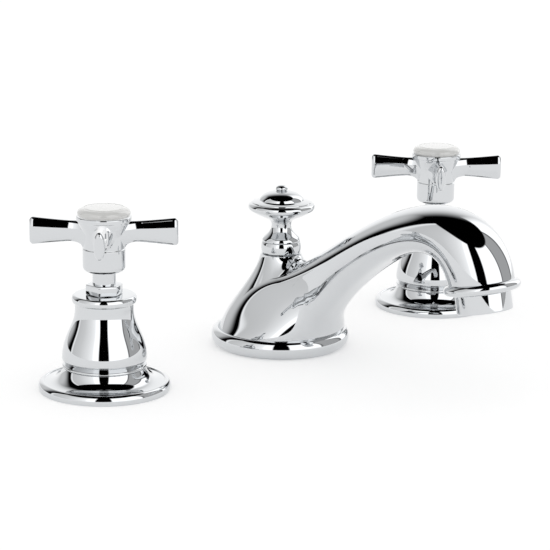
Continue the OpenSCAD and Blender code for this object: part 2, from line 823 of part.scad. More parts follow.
module handle() {
    boss_r = cup_r - 0.8;
    edge_r = 2.2;
    color(CHROME)
        rotate(arm_angle)
            difference() {
                union() {
                    turned(concat(
                        [[0, hub_z]],
                        [for (a = [90:-15:0])
                            [hub_r - edge_r + edge_r * cos(a), hub_z + edge_r - edge_r * sin(a)]],
                        [[hub_r, arm_z - 6], [boss_r, arm_z], [boss_r, handle_top], [0, handle_top]]));
                    webs();
                    for (k = [0:3]) rotate(90 * k) arm();
                }
                translate([0, 0, hub_z - eps]) cylinder(h = floor_z - hub_z + eps, r = spline_r + fit_gap);
                translate([0, 0, floor_z - eps]) cylinder(h = 20, r = screw_r + fit_gap);
                translate([0, 0, recess_z]) cylinder(h = 20, r = recess_r + fit_gap);
            }
}

module handle_screw() {
    color(STEEL)
        difference() {
            union() {
                translate([0, 0, recess_z]) cylinder(h = 2.4, r = 4.2);
                translate([0, 0, hub_z + 3]) cylinder(h = recess_z - hub_z - 3 + eps, r = screw_r);
            }
            translate([0, 0, recess_z + 1]) cylinder(h = 4, r = 1.6, $fn = 6);
        }
}

// Metal cup screwed into the handle to hold the button
module index_cup() {
    lip = 0.5;
    color(CHROME)
        difference() {
            union() {
                turned([[0, handle_top], [cup_r - lip, handle_top], [cup_r, handle_top + lip],
                    [cup_r, cup_top - lip], [cup_r - lip, cup_top], [0, cup_top]]);
                translate([0, 0, handle_top - 2.6]) cylinder(h = 2.6 + eps, r = recess_r);
            }
            translate([0, 0, handle_top - 1]) cylinder(h = 10, r = recess_r - 1.4);
        }
}

// Ceramic button with a broad rounded edge and a ring line around its face
module index_button() {
    top = cup_top + button_h;
    face_r = button_r * 0.72;
    line = 0.25;
    color(PORCELAIN)
        turned(concat(
            [[0, handle_top - 1 + fit_gap], [recess_r - 1.5, handle_top - 1 + fit_gap],
                [recess_r - 1.5, cup_top], [button_r - 0.5, cup_top]],
            curve([[button_r - 0.5, cup_top], [button_r + 0.4, cup_top + button_h * 0.45],
                [button_r - 0.9, top - 0.3], [face_r + 0.6, top - 0.1]], 8),
            [[face_r + line, top], [face_r, top - line], [face_r - line, top], [0, top + 0.1]]));
}

// ---------------------------------------------------------------- drawn parts

spout_body();
spout_foot_seal();
spout_shank();
spout_deck_washer();
spout_clamp_washer();
spout_backnut();
inlet_tee();
tee_union_nut();
tee_washer();
tee_gland();
rod_tube();
rod_guide();
lift_rod();
lift_knob();
aerator_shell();
aerator_insert();
aerator_washer();

at_valve(-1) escutcheon();  // hot_escutcheon
at_valve(-1) flange_seal();  // hot_flange_seal
at_valve(-1) locknut();  // hot_locknut
at_valve(-1) valve_body();  // hot_valve_body
at_valve(-1) deck_washer();  // hot_deck_washer
at_valve(-1) clamp_washer();  // hot_clamp_washer
at_valve(-1) backnut();  // hot_backnut
at_valve(-1) bell();  // hot_bell
at_valve(-1) cartridge();  // hot_cartridge
at_valve(-1) lip_seal();  // hot_lip_seal
at_valve(-1) fixed_disc();  // hot_fixed_disc
at_valve(-1) moving_disc();  // hot_moving_disc
at_valve(-1) thrust_washer();  // hot_thrust_washer
at_valve(-1) spindle();  // hot_spindle
at_valve(-1) spindle_orings();  // hot_spindle_orings
at_valve(-1) spindle_clip();  // hot_spindle_clip
at_valve(-1) gland_nut();  // hot_gland_nut
at_valve(-1) handle();  // hot_handle
at_valve(-1) handle_screw();  // hot_handle_screw
at_valve(-1) index_cup();  // hot_index_cup
at_valve(-1) index_button();  // hot_index_button

at_valve(1) escutcheon();  // cold_escutcheon
at_valve(1) flange_seal();  // cold_flange_seal
at_valve(1) locknut();  // cold_locknut
at_valve(1) valve_body();  // cold_valve_body
at_valve(1) deck_washer();  // cold_deck_washer
at_valve(1) clamp_washer();  // cold_clamp_washer
at_valve(1) backnut();  // cold_backnut
at_valve(1) bell();  // cold_bell
at_valve(1) cartridge();  // cold_cartridge
at_valve(1) lip_seal();  // cold_lip_seal
at_valve(1) fixed_disc();  // cold_fixed_disc
at_valve(1) moving_disc();  // cold_moving_disc
at_valve(1) thrust_washer();  // cold_thrust_washer
at_valve(1) spindle();  // cold_spindle
at_valve(1) spindle_orings();  // cold_spindle_orings
at_valve(1) spindle_clip();  // cold_spindle_clip
at_valve(1) gland_nut();  // cold_gland_nut
at_valve(1) handle();  // cold_handle
at_valve(1) handle_screw();  // cold_handle_screw
at_valve(1) index_cup();  // cold_index_cup
at_valve(1) index_button();  // cold_index_button
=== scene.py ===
# %% [markdown]
# # A three-hole basin mixer set in polished chrome
# Two cross-head valves and a swan-neck spout stand on a pale deck. The packed
# CAD model is the fixed frame: its pieces under the deck stay and get better
# materials. Each piece that shows above the deck could stay too, but a mirror
# finish shows every facet, so those are made again here with smoother surfaces.

import json
import math

import bmesh
import bpy
from mathutils import Matrix, Vector
from mathutils.bvhtree import BVHTree


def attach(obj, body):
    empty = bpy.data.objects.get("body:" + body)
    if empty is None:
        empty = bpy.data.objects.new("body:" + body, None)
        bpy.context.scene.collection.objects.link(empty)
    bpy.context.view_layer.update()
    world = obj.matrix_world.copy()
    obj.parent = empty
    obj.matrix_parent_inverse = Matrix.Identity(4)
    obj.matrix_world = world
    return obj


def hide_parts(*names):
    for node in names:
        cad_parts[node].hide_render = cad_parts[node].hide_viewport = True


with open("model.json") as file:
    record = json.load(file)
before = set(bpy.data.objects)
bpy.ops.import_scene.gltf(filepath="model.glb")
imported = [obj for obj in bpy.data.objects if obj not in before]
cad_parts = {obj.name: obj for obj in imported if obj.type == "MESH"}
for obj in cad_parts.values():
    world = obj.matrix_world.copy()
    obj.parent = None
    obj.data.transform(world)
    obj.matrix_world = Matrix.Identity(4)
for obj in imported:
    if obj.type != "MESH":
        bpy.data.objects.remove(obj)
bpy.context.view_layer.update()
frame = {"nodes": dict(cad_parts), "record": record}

# %% [markdown]
# ## Units
# The drawings of taps are in millimetres and Blender works in metres, so every
# length is written in millimetres and turned to metres once, when a vertex is
# made. The spout stands at zero, with a valve on either side of it.

# %% Units
MM = 0.001
VALVES = (("hot", -100.0), ("cold", 100.0))


def metres(x, y, z):
    """Vector in metres of a place given in millimetres."""
    return Vector((x * MM, y * MM, z * MM))


# %% [markdown]
# ## Camera
# The set is seen from the front left, a little above the knobs. A short lens
# close by would make the near valve loom over the far one; a long lens from a
# metre away keeps the three groups nearly the same size.

# %% Camera
VIEW_TURN = math.radians(44.302)
VIEW_DIP = math.radians(12.959)
VIEW_ROLL = math.radians(0.69)
VIEW_DISTANCE = 1003.3
VIEW_AIM = metres(0, 0, 40)
# the lens and the middle of the view, in pixels of a square picture
FOCAL_PIXELS = 2356.1
PICTURE = 550
CENTRE_X, CENTRE_Y = 281.0, 252.6
SENSOR_WIDTH = 36


def make_camera():
    forward = Vector((
        math.cos(VIEW_TURN) * math.cos(VIEW_DIP),
        math.sin(VIEW_TURN) * math.cos(VIEW_DIP),
        -math.sin(VIEW_DIP),
    ))
    right = Vector((math.sin(VIEW_TURN), -math.cos(VIEW_TURN), 0))
    up = right.cross(forward)
    right, up = (
        right * math.cos(VIEW_ROLL) + up * math.sin(VIEW_ROLL),
        up * math.cos(VIEW_ROLL) - right * math.sin(VIEW_ROLL),
    )
    data = bpy.data.cameras.new("camera")
    data.sensor_width = SENSOR_WIDTH
    data.lens = FOCAL_PIXELS * data.sensor_width / PICTURE
    data.shift_x = (PICTURE / 2 - CENTRE_X) / PICTURE
    data.shift_y = (CENTRE_Y - PICTURE / 2) / PICTURE
    camera = bpy.data.objects.new("camera", data)
    turn = Matrix((right, up, -forward)).transposed().to_4x4()
    camera.matrix_world = Matrix.Translation(VIEW_AIM - forward * VIEW_DISTANCE * MM) @ turn
    bpy.context.scene.collection.objects.link(camera)
    bpy.context.scene.camera = camera
    print("camera lens, mm:", round(data.lens, 1))


make_camera()

# %% [markdown]
# ## Curves
# A tap maker draws a profile as a few flowing curves. A polygon would need many
# points to look smooth. A Bezier curve needs only a short list of control
# points, which pull it the way a bent batten is pulled. The CAD solids were
# drawn the same way, so each dressed piece lies on its solid or just inside it.

# %% Curves


def bezier(points, t):
    """Point at t on the Bezier curve with these control points."""
    points = [Vector(p) for p in points]
    while len(points) > 1:
        points = [a.lerp(b, t) for a, b in zip(points, points[1:])]
    return points[0]


def curve(points, count):
    """The curve as count + 1 points."""
    return [bezier(points, i / count) for i in range(count + 1)]


def arc(centre_r, centre_z, out, half_h, start, end, count):
    """Points on an oval arc, with angles in degrees from straight up, turning outwards."""
    angles = [math.radians(start + (end - start) * i / count) for i in range(count + 1)]
    return [
        Vector((centre_r + out * math.sin(a), centre_z + half_h * math.cos(a))) for a in angles
    ]


def soften(points, radius, count=4):
    """The profile with each of its inner corners rounded."""
    points = [Vector(p) for p in points]
    soft = [points[0]]
    for before, corner, after in zip(points, points[1:], points[2:]):
        reach = min(radius, (before - corner).length * 0.45, (after - corner).length * 0.45)
        start = corner + (before - corner).normalized() * reach
        end = corner + (after - corner).normalized() * reach
        soft += curve([start, corner, end], count)
    return soft + [points[-1]]


# %% [markdown]
# ## Turning
# Most pieces of a tap are turned on a lathe. A Screw modifier could sweep a
# profile too, but the spin operator does it inside the mesh, where the next
# steps can use the result: a profile of joined vertices goes once round the
# axis, its ends are merged, and its normals are made to point outwards.

# %% Turning
TURN_STEPS = 144
SAME_PLACE = 1e-6


def add_turned(mesh, profile, centre_x=0.0):
    """Spins a profile of [radius, height] points round an upright axis into the bmesh."""
    verts = [mesh.verts.new(metres(max(r, 0), 0, z)) for r, z in profile]
    edges = [mesh.edges.new(pair) for pair in zip(verts, verts[1:])]
    bmesh.ops.spin(
        mesh, geom=verts + edges, cent=(0, 0, 0), axis=(0, 0, 1),
        angle=2 * math.pi, steps=TURN_STEPS, use_merge=True, use_duplicate=False,
    )
    # vertices that were there before carry a tag, so only the new ones move
    made = [v for v in mesh.verts if not v.tag]
    bmesh.ops.translate(mesh, verts=made, vec=metres(centre_x, 0, 0))
    bmesh.ops.remove_doubles(mesh, verts=made, dist=SAME_PLACE)
    for vert in mesh.verts:
        vert.tag = True


def add_turned_ring(mesh, profile, centre_x=0.0):
    """Spins a profile that is closed by going back to its first point."""
    add_turned(mesh, profile + [profile[0]], centre_x)


# %% Finishing a piece
CREASE_ANGLE = math.radians(32)


def finish_piece(name, mesh, body, material, replaced=()):
    """Closes the bmesh, links it as a piece that rides on a body, and gives it its finish."""
    bmesh.ops.remove_doubles(mesh, verts=mesh.verts, dist=SAME_PLACE)
    bmesh.ops.recalc_face_normals(mesh, faces=mesh.faces)
    data = bpy.data.meshes.new(name)
    mesh.to_mesh(data)
    mesh.free()
    data.shade_smooth()
    data.set_sharp_from_angle(angle=CREASE_ANGLE)
    piece = bpy.data.objects.new(name, data)
    bpy.context.scene.collection.objects.link(piece)
    data.materials.append(material)
    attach(piece, body)
    if replaced:
        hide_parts(*replaced)
    print(f"{name}: {len(data.polygons)} faces")
    return piece


# %% [markdown]
# ## Materials
# One function turns a colour as it is written in a picture editor into the
# linear numbers that Blender's shaders add up, and one adds a node with its
# settings and links.

# %% Colour and nodes


def colour(code):
    """Linear RGBA of an sRGB hex code."""
    channels = [int(code[i:i + 2], 16) / 255 for i in (1, 3, 5)]
    linear = [c / 12.92 if c <= 0.04045 else ((c + 0.055) / 1.055) ** 2.4 for c in channels]
    return (*linear, 1.0)


def add_node(tree, kind, links=None, values=None, **settings):
    """Adds a node; links maps an input to an output socket, values maps an input to a constant."""
    made = tree.nodes.new(kind)
    for name, value in settings.items():
        setattr(made, name, value)
    for name, value in (values or {}).items():
        made.inputs[name].default_value = value
    for name, socket in (links or {}).items():
        tree.links.new(socket, made.inputs[name])
    return made


def new_material(name):
    made = bpy.data.materials.new(name)
    made.use_nodes = True
    made.node_tree.nodes.clear()
    return made, made.node_tree


# %% [markdown]
# ### Chrome plate
# Brass castings are buffed, nickelled and plated with chromium. The plate is a
# cool bright mirror. A metal with one roughness would do from far away. What
# tells real plate from a perfect mirror is the very slight waviness that the
# buffing wheel leaves and a faint haze where it has been wiped, so noise goes
# into the bump and the roughness.

# %% Chrome
# the wheel leaves a wave about every 17 mm, and a cloth a wiped patch every 7 mm
BUFFED_PER_METRE, WIPED_PER_METRE = 60.0, 140.0


def make_chrome():
    material, tree = new_material("chrome_plate")
    place = add_node(tree, "ShaderNodeTexCoord")
    waves = add_node(
        tree, "ShaderNodeTexNoise", {"Vector": place.outputs["Object"]},
        {"Scale": BUFFED_PER_METRE, "Detail": 1.0, "Roughness": 0.4},
    )
    wiped = add_node(
        tree, "ShaderNodeTexNoise", {"Vector": place.outputs["Object"]},
        {"Scale": WIPED_PER_METRE, "Detail": 3.0, "Roughness": 0.6},
    )
    haze = add_node(
        tree, "ShaderNodeMapRange", {"Value": wiped.outputs["Fac"]},
        {"From Min": 0.35, "From Max": 0.75, "To Min": 0.012, "To Max": 0.035},
    )
    bump = add_node(
        tree, "ShaderNodeBump", {"Height": waves.outputs["Fac"]},
        {"Strength": 0.05, "Distance": 0.0002},
    )
    shader = add_node(
        tree, "ShaderNodeBsdfPrincipled",
        {"Roughness": haze.outputs["Result"], "Normal": bump.outputs["Normal"]},
        {"Base Color": colour("#d3d5d7"), "Metallic": 1.0},
    )
    add_node(tree, "ShaderNodeOutputMaterial", {"Surface": shader.outputs["BSDF"]})
    return material


CHROME = make_chrome()

# %% [markdown]
# ### Glazed porcelain
# The index buttons are fired porcelain under a clear glaze: a white body, a
# little cloudy, below a hard wet-looking coat. Subsurface scattering could
# soften the body, but on a button of 20 mm it would hardly show, so a clear
# coat over a clouded colour is enough.

# %% Porcelain
# the glaze clouds and ripples about every 4.5 mm
GLAZE_PER_METRE = 220.0


def make_porcelain():
    material, tree = new_material("glazed_porcelain")
    place = add_node(tree, "ShaderNodeTexCoord")
    cloud = add_node(
        tree, "ShaderNodeTexNoise", {"Vector": place.outputs["Object"]},
        {"Scale": GLAZE_PER_METRE, "Detail": 2.0},
    )
    tint = add_node(
        tree, "ShaderNodeMix", {"Factor": cloud.outputs["Fac"]}, data_type="RGBA",
    )
    tint.inputs["A"].default_value = colour("#dcdcda")
    tint.inputs["B"].default_value = colour("#e6e6e4")
    ripple = add_node(
        tree, "ShaderNodeBump", {"Height": cloud.outputs["Fac"]},
        {"Strength": 0.04, "Distance": 0.0001},
    )
    shader = add_node(
        tree, "ShaderNodeBsdfPrincipled",
        {"Base Color": tint.outputs["Result"], "Normal": ripple.outputs["Normal"]},
        {"Roughness": 0.18, "IOR": 1.5, "Coat Weight": 0.8, "Coat Roughness": 0.03},
    )
    add_node(tree, "ShaderNodeOutputMaterial", {"Surface": shader.outputs["BSDF"]})
    return material


PORCELAIN = make_porcelain()

# %% [markdown]
# ### Brass, steel, rubber, ceramic and plastic
# Below the deck a tap is bare metal and rubber. Turned brass shows the fine
# rings of the lathe tool, so its bump is a wave that runs along the height of
# the piece; the cast tee has the sand's grain instead; steel washers are
# pressed from brushed sheet; rubber is matt with a moulding bloom. Six separate
# node trees would say the same thing six times, so one function draws them all
# and takes the grain, the depth and the pitch in real millimetres.

# %% Plain finishes
PATCH_MM = 12


def surface(name, dark, light, grain_mm, bump_mm, rough, metallic=0.0, rings_mm=0.0, **extra):
    """A two-tone finish: grain this coarse, a bump this deep, and lathe rings of this pitch."""
    material, tree = new_material(name)
    place = add_node(tree, "ShaderNodeTexCoord")
    grain = add_node(
        tree, "ShaderNodeTexNoise", {"Vector": place.outputs["Object"]},
        {"Scale": 1 / (grain_mm * MM), "Detail": 4.0, "Roughness": 0.6})
    patch = add_node(
        tree, "ShaderNodeTexNoise", {"Vector": place.outputs["Object"]},
        {"Scale": 1 / (PATCH_MM * MM), "Detail": 2.0})
    tint = add_node(tree, "ShaderNodeMix", {"Factor": patch.outputs["Fac"]}, data_type="RGBA")
    tint.inputs["A"].default_value = colour(dark)
    tint.inputs["B"].default_value = colour(light)
    gloss = add_node(
        tree, "ShaderNodeMapRange", {"Value": grain.outputs["Fac"]},
        {"From Min": 0.3, "From Max": 0.7, "To Min": rough[0], "To Max": rough[1]})
    height = grain.outputs["Fac"]
    if rings_mm:
        # Blender's wave texture repeats every pi / 10 divided by its scale
        rings = add_node(
            tree, "ShaderNodeTexWave", {"Vector": place.outputs["Object"]},
            {"Scale": math.pi / 10 / (rings_mm * MM), "Distortion": 0.3, "Detail": 1.0},
            bands_direction="Z")
        height = add_node(
            tree, "ShaderNodeMath", {0: rings.outputs["Fac"], 1: grain.outputs["Fac"]},
            operation="ADD").outputs[0]
    bump = add_node(
        tree, "ShaderNodeBump", {"Height": height}, {"Strength": 0.35, "Distance": bump_mm * MM})
    shader = add_node(
        tree, "ShaderNodeBsdfPrincipled",
        {"Base Color": tint.outputs["Result"], "Roughness": gloss.outputs["Result"],
         "Normal": bump.outputs["Normal"]}, {"Metallic": metallic, **extra})
    add_node(tree, "ShaderNodeOutputMaterial", {"Surface": shader.outputs["BSDF"]})
    return material


# warm yellow metal with the fine turning lines that catch the light as bright rings
TURNED_BRASS = surface(
    "turned_brass", "#b08a45", "#c9a357", 0.6, 0.03, (0.16, 0.3), 1.0, rings_mm=0.35)
# the same alloy as it leaves the sand mould: duller, browner and softly pitted
CAST_BRASS = surface("cast_brass", "#957237", "#b38d4c", 0.9, 0.12, (0.38, 0.58), 1.0)
# cool grey sheet whose fine brushing spreads each highlight
WASHER_STEEL = surface(
    "brushed_stainless_steel", "#a3a6a8", "#bdc0c2", 0.3, 0.02, (0.22, 0.36), 1.0)
# nearly black and matt, with a grey bloom that keeps its edges readable
SEAL_RUBBER = surface("black_nitrile_rubber", "#17181a", "#25272a", 0.25, 0.04, (0.55, 0.75))
# ivory discs ground flat enough to seal against water, with a faint satin sheen
GROUND_CERAMIC = surface("ground_alumina", "#e3e0d6", "#efece4", 0.2, 0.01, (0.16, 0.24))
# white moulded plastic with a slightly waxy skin
WHITE_ACETAL = surface("white_acetal", "#dedfdd", "#eceeec", 0.5, 0.02, (0.32, 0.44))

# %% [markdown]
# ### Finishes for the pieces that stay
# The CAD objects keep their shape and get one of these finishes in their own
# material slots. A list of all their names would be long and easy to get wrong.
# The record already names a slot for each node, so the map goes from the
# record's slot to the finish, with the castings as exceptions.

# %% Carried-over pieces
SLOT_FINISH = {
    "chrome": CHROME, "porcelain": PORCELAIN, "brass": TURNED_BRASS, "steel": WASHER_STEEL,
    "rubber": SEAL_RUBBER, "ceramic": GROUND_CERAMIC, "plastic": WHITE_ACETAL}
CASTINGS = ("inlet_tee", "hot_valve_body", "cold_valve_body")

for subpart in frame["record"]["subparts"]:
    node = subpart["node"]
    finish = CAST_BRASS if node in CASTINGS else SLOT_FINISH[subpart["material_slot"]]
    data = frame["nodes"][node].data
    if not data.materials:
        data.materials.append(finish)
    for slot_number in range(len(data.materials)):
        data.materials[slot_number] = finish
print("finished CAD pieces:", len(frame["nodes"]))

# %% [markdown]
# ## Escutcheon
# The flange under each valve: a rounded rim, a fine step, a dish that sweeps up
# to the bell. A flat disc with bevels would miss the slow sweep that draws long
# curved reflections, so it is one turned profile, closed to a flat underside.

# %% Escutcheon
ESCUTCHEON_R, ESCUTCHEON_Z, DISH_R, BELL_R = 26.6, 9.2, 24.0, 16.9
RIM_H, FLANGE_BORE_R = 4.0, 13.5


def escutcheon_profile():
    rim = curve([
        (ESCUTCHEON_R - 0.4, 0), (ESCUTCHEON_R + 0.3, 2.2),
        (ESCUTCHEON_R - 0.6, RIM_H - 0.1), (DISH_R + 0.5, RIM_H)], 24)
    line = curve([
        (DISH_R + 0.5, RIM_H), (DISH_R + 0.15, RIM_H - 0.02), (DISH_R, RIM_H - 0.4)], 4)[1:]
    dish = curve([
        (DISH_R, RIM_H - 0.4), (20, RIM_H - 0.1), (17.6, 5.4),
        (BELL_R - 0.6, ESCUTCHEON_Z)], 32)[1:]
    bore = [Vector((FLANGE_BORE_R, 0)), Vector((FLANGE_BORE_R, ESCUTCHEON_Z))]
    return bore[:1] + rim + line + dish + bore[1:]


def make_escutcheon(side, centre_x):
    mesh = bmesh.new()
    add_turned_ring(mesh, escutcheon_profile(), centre_x)
    return finish_piece(
        f"{side}_flange", mesh, "fixed_set", CHROME, [f"{side}_escutcheon"])


# %% [markdown]
# ## Bell
# The bell covers the cartridge. A rounded lip runs round its flat top, the
# waist swells to a full skirt, and a fine band ends it on the flange. It is a
# thin shell, so the profile goes down the outside and back up the inside. A
# Solidify modifier could give the wall too, but would round the lip away.

# %% Bell
BELL_NECK_R, BELL_BEAD_R, BELL_Z, BELL_WALL, BELL_TOP_T = 11.8, 12.95, 38.9, 1.4, 2.0
LIP_HALF_H, BELL_HOLE_R, FOOT_BEAD = 1.8, 6.5, 0.8


def bell_profile():
    bead_z = BELL_Z - LIP_HALF_H
    skirt = curve([
        (BELL_NECK_R, bead_z - 2.6), (BELL_NECK_R - 0.5, bead_z - 8.5),
        (BELL_NECK_R + 1.6, bead_z - 11.5), (BELL_R, bead_z - 16.5),
        (BELL_R + 0.1, ESCUTCHEON_Z + 3.8)], 48)
    lip = arc(
        BELL_NECK_R - 0.1, bead_z, BELL_BEAD_R - BELL_NECK_R + 0.1, LIP_HALF_H, 0, 180, 20)
    tuck = curve([
        skirt[-1], (BELL_R, ESCUTCHEON_Z + 3), (BELL_R - 0.9, ESCUTCHEON_Z + 2.6),
        (BELL_R - 1, ESCUTCHEON_Z + 2 * FOOT_BEAD)], 8)[1:]
    band = arc(BELL_R - 1, ESCUTCHEON_Z + FOOT_BEAD, 1, FOOT_BEAD, 0, 180, 10)[1:]
    inside = [(r - BELL_WALL, z) for r, z in reversed(skirt)]
    top_in = BELL_Z - BELL_TOP_T
    return [Vector((BELL_HOLE_R, BELL_Z))] + lip + skirt[1:] + tuck + band + [
        Vector((BELL_R - BELL_WALL - 1, ESCUTCHEON_Z)), *[Vector(p) for p in inside],
        Vector((BELL_NECK_R - BELL_WALL, top_in)), Vector((BELL_HOLE_R, top_in))]


def make_bell(side, centre_x):
    mesh = bmesh.new()
    add_turned_ring(mesh, bell_profile(), centre_x)
    return finish_piece(
        f"{side}_bell_cover", mesh, "fixed_set", CHROME, [f"{side}_bell"])


for side, centre_x in VALVES:
    make_escutcheon(side, centre_x)
    make_bell(side, centre_x)

# %% [markdown]
# ## Gland nut
# A small hexagon clamps the bell's top. Real nuts have their edges rounded by
# buffing before they are plated. A live Bevel modifier would round every edge
# alike, so the bevel operator runs twice: once round the rims, and once more
# finely down the uprights. The nut starts as a circle of six sides, pulled up.

# %% Gland nut
GLAND_AF, GLAND_H = 13.0, 4.2
RIM_ROUND, UPRIGHT_ROUND = 0.5, 0.25


def rise_of(edge):
    """How far one end of the edge stands above the other."""
    return abs(edge.verts[0].co.z - edge.verts[1].co.z)


def make_gland_nut(side, centre_x):
    mesh = bmesh.new()
    corner = GLAND_AF / 2 / math.cos(math.radians(30))
    bmesh.ops.create_circle(
        mesh, cap_ends=False, segments=6, radius=corner * MM,
        matrix=Matrix.Translation(metres(0, 0, BELL_Z)))
    raised = bmesh.ops.extrude_edge_only(mesh, edges=mesh.edges[:])["geom"]
    top = [g for g in raised if isinstance(g, bmesh.types.BMVert)]
    bmesh.ops.translate(mesh, verts=top, vec=metres(0, 0, GLAND_H))
    bmesh.ops.holes_fill(mesh, edges=mesh.edges, sides=6)
    rims = [e for e in mesh.edges if rise_of(e) < SAME_PLACE]
    bmesh.ops.bevel(
        mesh, geom=rims, offset=RIM_ROUND * MM, segments=3,
        affect="EDGES", profile=0.5, material=-1)
    uprights = [e for e in mesh.edges if rise_of(e) > GLAND_H / 2 * MM]
    bmesh.ops.bevel(
        mesh, geom=uprights, offset=UPRIGHT_ROUND * MM, segments=2,
        affect="EDGES", profile=0.5, material=-1)
    bmesh.ops.translate(mesh, verts=mesh.verts, vec=metres(centre_x, 0, 0))
    return finish_piece(
        f"{side}_gland_hexagon", mesh, "fixed_set", CHROME, [f"{side}_gland_nut"])


# %% [markdown]
# ## Cross handle
# The handle is a casting: four upright oval blades that thicken into a hub,
# with a round fillet in plan from each blade to the next. Joining four arms
# with booleans would leave hard seams that a mirror finish shows. Instead one
# blade is drawn as rings that widen towards the hub, bridged into a skin, cut
# along the two planes half way to its neighbours, and spun into all four.

# %% Handle sizes
HUB_R, HUB_Z, ARM_Z, ARM_LEN = 8.5, 48.2, 64.4, 29.3
ARM_TIP_H, ARM_NECK_H, ARM_T, ARM_NECK = 11.0, 8.4, 4.3, 15.0
CUP_R, CUP_H, BUTTON_R, BUTTON_H = 11.0, 2.0, 10.8, 3.2
HANDLE_TOP = ARM_Z + 4.3
CUP_TOP = HANDLE_TOP + CUP_H
SHOULDER_Z = 57.6
# the blade's end is rounded over this length, so its full section ends before it
NOSE = 1.5
BLADE_END = ARM_LEN - NOSE
# how thick the blade is at its neck, as a share of its thickness at the tip
NECK_SHARE = 0.88


def arm_size(s):
    """Half thickness, height above and depth below the centre line at the distance s."""
    grow = max(0.0, (s - ARM_NECK + 2) / (BLADE_END - ARM_NECK + 2))
    half_h = (ARM_NECK_H + (ARM_TIP_H - ARM_NECK_H) * grow ** 1.2) / 2
    half_t = ARM_T / 2 * (NECK_SHARE + (1 - NECK_SHARE) * grow)
    if s < ARM_NECK:
        fillet = ARM_NECK - ARM_T / 2 * NECK_SHARE
        half_t = ARM_NECK - math.sqrt(fillet ** 2 - (ARM_NECK - s) ** 2)
    sink = min(1.0, max(0.0, (ARM_NECK - 1 - s) / (ARM_NECK - 1 - HUB_R)))
    below = half_h + (ARM_Z - ARM_NECK_H / 2 - SHOULDER_Z) * (1 - math.sqrt(1 - sink ** 2.4))
    return half_t, half_h, below


def oval(angle, power):
    """Point on a rounded square seen at this angle; power 2 is a circle."""
    c, s = math.cos(angle), math.sin(angle)
    reach = (abs(c) ** power + abs(s) ** power) ** (-1 / power)
    return c * reach, s * reach


def add_ring(mesh, count, place):
    """A ring from the circle operator whose vertices are put where place(angle) says."""
    made = bmesh.ops.create_circle(mesh, cap_ends=False, segments=count, radius=MM)["verts"]
    for i, vert in enumerate(made):
        vert.co = place(2 * math.pi * i / count)
    return [e for e in {e for v in made for e in v.link_edges}]


def bridge(mesh, rings):
    """Joins each ring to the next one with a band of faces."""
    for near, far in zip(rings, rings[1:]):
        bmesh.ops.bridge_loops(mesh, edges=near + far)


# %% Handle
# rings stand close together in the fillet, from the root out to the plain blade
ARM_SIDES, ARM_SQUARE = 48, 2.35
ARM_ROOT, ROOT_STEP, ROOT_RINGS = 5.2, 0.45, 23
BLADE_FROM, BLADE_STEPS = 15.55, 14
NOSE_ANGLES = (15, 30, 45, 60, 75, 86)
SPINDLE_BORE_R = 4.1
MEETING_PLANES = 2e-5


def make_arm(mesh):
    """One blade along +X, from inside the hub to its rounded end."""
    stations = [ARM_ROOT + ROOT_STEP * i for i in range(ROOT_RINGS)]
    stations += [
        BLADE_FROM + (BLADE_END - BLADE_FROM) * i / BLADE_STEPS for i in range(BLADE_STEPS + 1)]
    rings = []

    def section(s, shrink):
        half_t, above, below = arm_size(min(s, BLADE_END))

        def place(angle):
            across, rise = oval(angle, ARM_SQUARE)
            height = (above if rise > 0 else below) - shrink
            return metres(s, (half_t - shrink) * across, ARM_Z + height * rise)

        return place

    for s in stations:
        rings.append(add_ring(mesh, ARM_SIDES, section(s, 0)))
    for degrees in NOSE_ANGLES:
        a = math.radians(degrees)
        s = BLADE_END + NOSE * math.sin(a)
        rings.append(add_ring(mesh, ARM_SIDES, section(s, NOSE * (1 - math.cos(a)))))
    bridge(mesh, rings)
    bmesh.ops.holes_fill(mesh, edges=rings[-1], sides=0)


def make_handle(side, centre_x):
    mesh = bmesh.new()
    make_arm(mesh)
    for turn in (1, -1):
        bmesh.ops.bisect_plane(
            mesh, geom=mesh.verts[:] + mesh.edges[:] + mesh.faces[:], plane_co=(0, 0, 0),
            plane_no=Vector((-1, turn, 0)).normalized(), dist=SAME_PLACE, clear_outer=True)
    # the fourth copy lands on the first blade, and merging the doubles takes it away
    bmesh.ops.spin(
        mesh, geom=mesh.verts[:] + mesh.edges[:] + mesh.faces[:], cent=(0, 0, 0),
        axis=(0, 0, 1), angle=2 * math.pi, steps=4, use_duplicate=True, use_merge=False)
    bmesh.ops.remove_doubles(mesh, verts=mesh.verts, dist=MEETING_PLANES)
    bmesh.ops.rotate(
        mesh, verts=mesh.verts, cent=(0, 0, 0), matrix=Matrix.Rotation(math.radians(45), 3, "Z"))
    bmesh.ops.translate(mesh, verts=mesh.verts, vec=metres(centre_x, 0, 0))
    for vert in mesh.verts:
        vert.tag = True
    boss = CUP_R - 0.8
    hub = arc(HUB_R - 2.2, HUB_Z + 2.2, 2.2, 2.2, 180, 90, 8)
    profile = [Vector((SPINDLE_BORE_R, HUB_Z))] + hub + soften(
        [(HUB_R, HUB_Z + 2.4), (HUB_R, SHOULDER_Z - 0.2), (HUB_R - 0.25, SHOULDER_Z),
         (HUB_R - 0.25, ARM_Z - 1), (boss, HANDLE_TOP - 0.8), (boss, HANDLE_TOP)], 0.5)
    add_turned_ring(mesh, profile + [Vector((SPINDLE_BORE_R, HANDLE_TOP))], centre_x)
    return finish_piece(
        f"{side}_cross_handle", mesh, f"{side}_control", CHROME, [f"{side}_handle"])


# %% [markdown]
# ## Cup and index button
# A thin chrome cup screwed to the hub carries a porcelain button. The button's
# edge is broadly rounded, and a fine pressed line runs round its face. The line
# could be bump in the glaze, but real relief keeps its shadow from every side,
# so it is a small dip in the profile.

# %% Cup and button
CUP_BORE_R = 6.9
